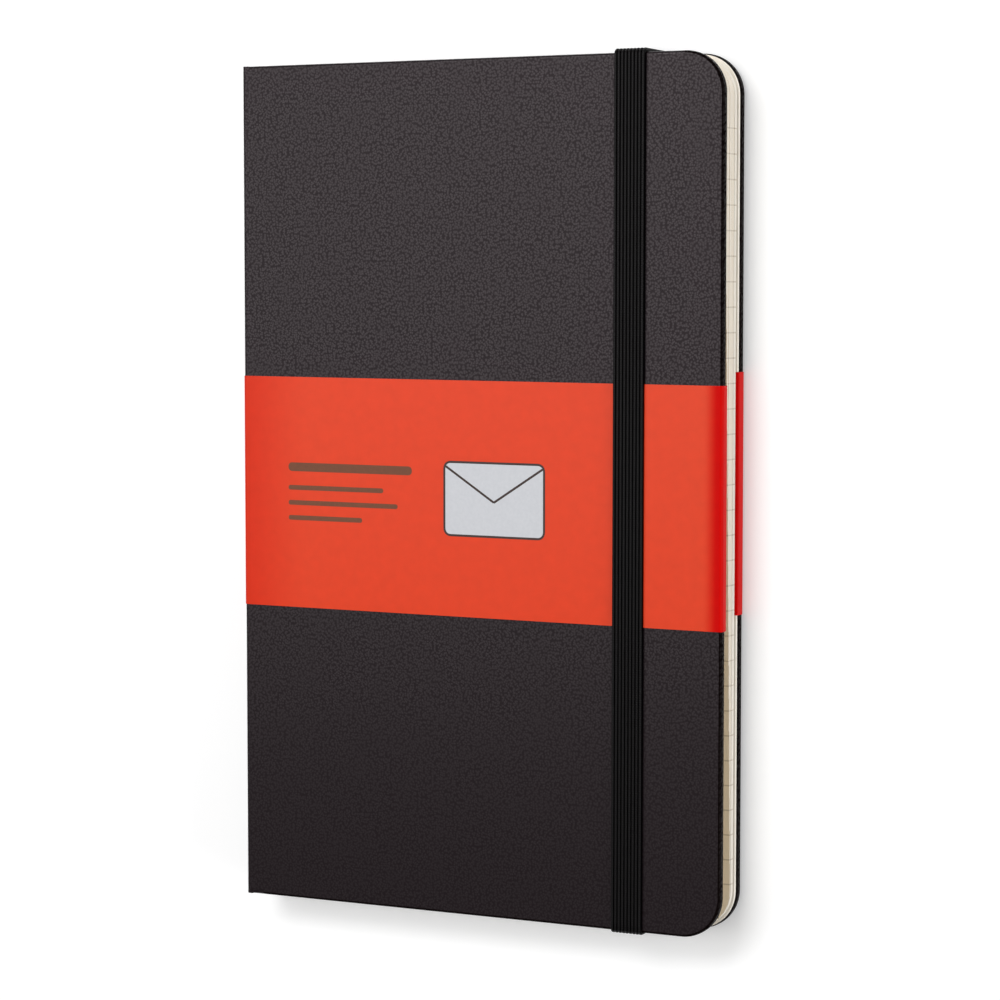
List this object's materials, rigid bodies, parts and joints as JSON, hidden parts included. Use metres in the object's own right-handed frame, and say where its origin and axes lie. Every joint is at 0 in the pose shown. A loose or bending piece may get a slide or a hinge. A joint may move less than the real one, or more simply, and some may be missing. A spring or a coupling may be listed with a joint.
{
  "type": "address book",
  "caption": "Hard-cover address book with rounded fore-edge corners, a stepped A to Z index, an elastic closure, a paper belly band, a ribbon marker and a rear pocket.",
  "frame": {"origin": "bottom centre of the closed book's box, level with the underside of the elastic's short back runs", "axes": "+X from the spine to the fore-edge, +Y from the tail to the head, +Z from the back cover up to the front cover"},
  "size_m": [0.1304, 0.212, 0.0156],
  "materials": {
    "leatherette": "black leatherette with a fine grain",
    "greyboard": "plain greyboard",
    "endpaper": "ivory, uncoated",
    "writing_paper": "ivory, uncoated, ruled",
    "gauze": "open-weave gauze under glue",
    "elastic": "black ribbed woven elastic",
    "band_paper": "red, satin coated",
    "ribbon": "black satin weave",
    "pocket_card": "ivory card",
    "pocket_cloth": "black bookcloth"
  },
  "bodies": {
    "back_cover": {"back_board": "greyboard", "back_leatherette": "leatherette", "rear_pastedown": "endpaper", "band_back": "band_paper", "elastic_end_head": "elastic", "elastic_end_tail": "elastic", "elastic_wrap_head": "elastic", "elastic_wrap_tail": "elastic", "pocket_edge": "pocket_card", "pocket_gusset_head": "pocket_cloth", "pocket_gusset_tail": "pocket_cloth"},
    "spine": {"spine_board": "greyboard", "spine_leatherette": "leatherette", "spine_lining": "gauze", "band_spine": "band_paper"},
    "front_cover": {"front_board": "greyboard", "front_leatherette": "leatherette", "front_pastedown": "endpaper", "band_front": "band_paper"},
    "pocket": {"pocket_panel": "pocket_card", "band_back_flap": "band_paper"},
    "elastic": {"elastic_front_run": "elastic"},
    "leaves_opening": {"opening_leaves": "writing_paper"},
    "leaves_a": {"index_a": "writing_paper"},
    "leaves_b": {"index_b": "writing_paper"},
    "leaves_c": {"index_c": "writing_paper"},
    "leaves_d": {"index_d": "writing_paper"},
    "leaves_e": {"index_e": "writing_paper"},
    "leaves_f": {"index_f": "writing_paper"},
    "leaves_g": {"index_g": "writing_paper"},
    "leaves_h": {"index_h": "writing_paper"},
    "leaves_i": {"index_i": "writing_paper"},
    "leaves_j": {"index_j": "writing_paper"},
    "leaves_k": {"index_k": "writing_paper"},
    "leaves_l": {"index_l": "writing_paper"},
    "leaves_m": {"index_m": "writing_paper"},
    "leaves_n": {"index_n": "writing_paper", "ribbon_marker": "ribbon"},
    "leaves_o": {"index_o": "writing_paper"},
    "leaves_p": {"index_p": "writing_paper"},
    "leaves_q": {"index_q": "writing_paper"},
    "leaves_r": {"index_r": "writing_paper"},
    "leaves_s": {"index_s": "writing_paper"},
    "leaves_t": {"index_t": "writing_paper"},
    "leaves_u": {"index_u": "writing_paper"},
    "leaves_v": {"index_v": "writing_paper"},
    "leaves_w": {"index_w": "writing_paper"},
    "leaves_x": {"index_x": "writing_paper"},
    "leaves_y": {"index_y": "writing_paper"},
    "leaves_z": {"index_z": "writing_paper"},
    "leaves_notes": {"notes_leaves": "writing_paper"}
  },
  "joints": [
    {"name": "spine_hinge", "type": "hinge", "parent": "back_cover", "child": "spine", "pos_m": [-0.065, 0, 0.0009], "axis": [0, -1, 0], "range_deg": [0, 90]},
    {"name": "cover_hinge", "type": "hinge", "parent": "spine", "child": "front_cover", "pos_m": [-0.065, 0, 0.01455], "axis": [0, -1, 0], "range_deg": [0, 90]},
    {"name": "turn_opening", "type": "hinge", "parent": "spine", "child": "leaves_opening", "pos_m": [-0.06305, 0, 0.01152], "axis": [0, -1, 0], "range_deg": [0, 78.3]},
    {"name": "turn_a", "type": "hinge", "parent": "spine", "child": "leaves_a", "pos_m": [-0.06305, 0, 0.01124], "axis": [0, -1, 0], "range_deg": [0, 71.1]},
    {"name": "turn_b", "type": "hinge", "parent": "spine", "child": "leaves_b", "pos_m": [-0.06305, 0, 0.01104], "axis": [0, -1, 0], "range_deg": [0, 66.46]},
    {"name": "turn_c", "type": "hinge", "parent": "spine", "child": "leaves_c", "pos_m": [-0.06305, 0, 0.01085], "axis": [0, -1, 0], "range_deg": [0, 61.81]},
    {"name": "turn_d", "type": "hinge", "parent": "spine", "child": "leaves_d", "pos_m": [-0.06305, 0, 0.01065], "axis": [0, -1, 0], "range_deg": [0, 57.17]},
    {"name": "turn_e", "type": "hinge", "parent": "spine", "child": "leaves_e", "pos_m": [-0.06305, 0, 0.01046], "axis": [0, -1, 0], "range_deg": [0, 52.52]},
    {"name": "turn_f", "type": "hinge", "parent": "spine", "child": "leaves_f", "pos_m": [-0.06305, 0, 0.01026], "axis": [0, -1, 0], "range_deg": [0, 47.88]},
    {"name": "turn_g", "type": "hinge", "parent": "spine", "child": "leaves_g", "pos_m": [-0.06305, 0, 0.01006], "axis": [0, -1, 0], "range_deg": [0, 43.24]},
    {"name": "turn_h", "type": "hinge", "parent": "spine", "child": "leaves_h", "pos_m": [-0.06305, 0, 0.00987], "axis": [0, -1, 0], "range_deg": [0, 38.59]},
    {"name": "turn_i", "type": "hinge", "parent": "spine", "child": "leaves_i", "pos_m": [-0.06305, 0, 0.00967], "axis": [0, -1, 0], "range_deg": [0, 33.95]},
    {"name": "turn_j", "type": "hinge", "parent": "spine", "child": "leaves_j", "pos_m": [-0.06305, 0, 0.00948], "axis": [0, -1, 0], "range_deg": [0, 29.3]},
    {"name": "turn_k", "type": "hinge", "parent": "spine", "child": "leaves_k", "pos_m": [-0.06305, 0, 0.00928], "axis": [0, -1, 0], "range_deg": [0, 24.66]},
    {"name": "turn_l", "type": "hinge", "parent": "spine", "child": "leaves_l", "pos_m": [-0.06305, 0, 0.00909], "axis": [0, -1, 0], "range_deg": [0, 20.02]},
    {"name": "turn_m", "type": "hinge", "parent": "spine", "child": "leaves_m", "pos_m": [-0.06305, 0, 0.0089], "axis": [0, -1, 0], "range_deg": [0, 15.37]},
    {"name": "turn_n", "type": "hinge", "parent": "spine", "child": "leaves_n", "pos_m": [-0.06305, 0, 0.00847], "axis": [0, -1, 0], "range_deg": [0, 10.73]},
    {"name": "turn_o", "type": "hinge", "parent": "spine", "child": "leaves_o", "pos_m": [-0.06305, 0, 0.00827], "axis": [0, -1, 0], "range_deg": [0, 6.08]},
    {"name": "turn_p", "type": "hinge", "parent": "spine", "child": "leaves_p", "pos_m": [-0.06305, 0, 0.00808], "axis": [0, -1, 0], "range_deg": [0, 1.44]},
    {"name": "turn_q", "type": "hinge", "parent": "spine", "child": "leaves_q", "pos_m": [-0.06305, 0, 0.00788], "axis": [0, -1, 0], "range_deg": [-3.21, 0]},
    {"name": "turn_r", "type": "hinge", "parent": "spine", "child": "leaves_r", "pos_m": [-0.06305, 0, 0.00768], "axis": [0, -1, 0], "range_deg": [-7.85, 0]},
    {"name": "turn_s", "type": "hinge", "parent": "spine", "child": "leaves_s", "pos_m": [-0.06305, 0, 0.00749], "axis": [0, -1, 0], "range_deg": [-12.49, 0]},
    {"name": "turn_t", "type": "hinge", "parent": "spine", "child": "leaves_t", "pos_m": [-0.06305, 0, 0.0073], "axis": [0, -1, 0], "range_deg": [-17.14, 0]},
    {"name": "turn_u", "type": "hinge", "parent": "spine", "child": "leaves_u", "pos_m": [-0.06305, 0, 0.0071], "axis": [0, -1, 0], "range_deg": [-21.78, 0]},
    {"name": "turn_v", "type": "hinge", "parent": "spine", "child": "leaves_v", "pos_m": [-0.06305, 0, 0.0069], "axis": [0, -1, 0], "range_deg": [-26.43, 0]},
    {"name": "turn_w", "type": "hinge", "parent": "spine", "child": "leaves_w", "pos_m": [-0.06305, 0, 0.00671], "axis": [0, -1, 0], "range_deg": [-31.07, 0]},
    {"name": "turn_x", "type": "hinge", "parent": "spine", "child": "leaves_x", "pos_m": [-0.06305, 0, 0.00651], "axis": [0, -1, 0], "range_deg": [-35.71, 0]},
    {"name": "turn_y", "type": "hinge", "parent": "spine", "child": "leaves_y", "pos_m": [-0.06305, 0, 0.00632], "axis": [0, -1, 0], "range_deg": [-40.36, 0]},
    {"name": "turn_z", "type": "hinge", "parent": "spine", "child": "leaves_z", "pos_m": [-0.06305, 0, 0.00613], "axis": [0, -1, 0], "range_deg": [-45, 0]},
    {"name": "turn_notes", "type": "hinge", "parent": "spine", "child": "leaves_notes", "pos_m": [-0.06305, 0, 0.0053], "axis": [0, -1, 0], "range_deg": [-59.4, 0]},
    {"name": "elastic_flip", "type": "hinge", "parent": "back_cover", "child": "elastic", "pos_m": [0.0412, 0, 0.00772], "axis": [0, 1, 0], "range_deg": [0, 180], "deforming": ["elastic_front_run", "elastic_wrap_head", "elastic_wrap_tail"]},
    {"name": "pocket_open", "type": "hinge", "parent": "back_cover", "child": "pocket", "pos_m": [0.0542, 0, 0.00402], "axis": [0, 1, 0], "range_deg": [0, 2.7], "deforming": ["pocket_gusset_head", "pocket_gusset_tail"]}
  ],
  "couplings": [
    {"joint": "cover_hinge", "follows": "spine_hinge", "ratio": 1},
    {"joint": "turn_opening", "follows": "spine_hinge", "ratio": 0.87},
    {"joint": "turn_a", "follows": "spine_hinge", "ratio": 0.79},
    {"joint": "turn_b", "follows": "spine_hinge", "ratio": 0.7384},
    {"joint": "turn_c", "follows": "spine_hinge", "ratio": 0.6868},
    {"joint": "turn_d", "follows": "spine_hinge", "ratio": 0.6352},
    {"joint": "turn_e", "follows": "spine_hinge", "ratio": 0.5836},
    {"joint": "turn_f", "follows": "spine_hinge", "ratio": 0.532},
    {"joint": "turn_g", "follows": "spine_hinge", "ratio": 0.4804},
    {"joint": "turn_h", "follows": "spine_hinge", "ratio": 0.4288},
    {"joint": "turn_i", "follows": "spine_hinge", "ratio": 0.3772},
    {"joint": "turn_j", "follows": "spine_hinge", "ratio": 0.3256},
    {"joint": "turn_k", "follows": "spine_hinge", "ratio": 0.274},
    {"joint": "turn_l", "follows": "spine_hinge", "ratio": 0.2224},
    {"joint": "turn_m", "follows": "spine_hinge", "ratio": 0.1708},
    {"joint": "turn_n", "follows": "spine_hinge", "ratio": 0.1192},
    {"joint": "turn_o", "follows": "spine_hinge", "ratio": 0.0676},
    {"joint": "turn_p", "follows": "spine_hinge", "ratio": 0.016},
    {"joint": "turn_q", "follows": "spine_hinge", "ratio": -0.0356},
    {"joint": "turn_r", "follows": "spine_hinge", "ratio": -0.0872},
    {"joint": "turn_s", "follows": "spine_hinge", "ratio": -0.1388},
    {"joint": "turn_t", "follows": "spine_hinge", "ratio": -0.1904},
    {"joint": "turn_u", "follows": "spine_hinge", "ratio": -0.242},
    {"joint": "turn_v", "follows": "spine_hinge", "ratio": -0.2936},
    {"joint": "turn_w", "follows": "spine_hinge", "ratio": -0.3452},
    {"joint": "turn_x", "follows": "spine_hinge", "ratio": -0.3968},
    {"joint": "turn_y", "follows": "spine_hinge", "ratio": -0.4484},
    {"joint": "turn_z", "follows": "spine_hinge", "ratio": -0.5},
    {"joint": "turn_notes", "follows": "spine_hinge", "ratio": -0.66},
    {"joint": "elastic_flip", "follows": "spine_hinge", "ratio": 2},
    {"joint": "pocket_open", "follows": "spine_hinge", "ratio": 0.03}
  ]
}
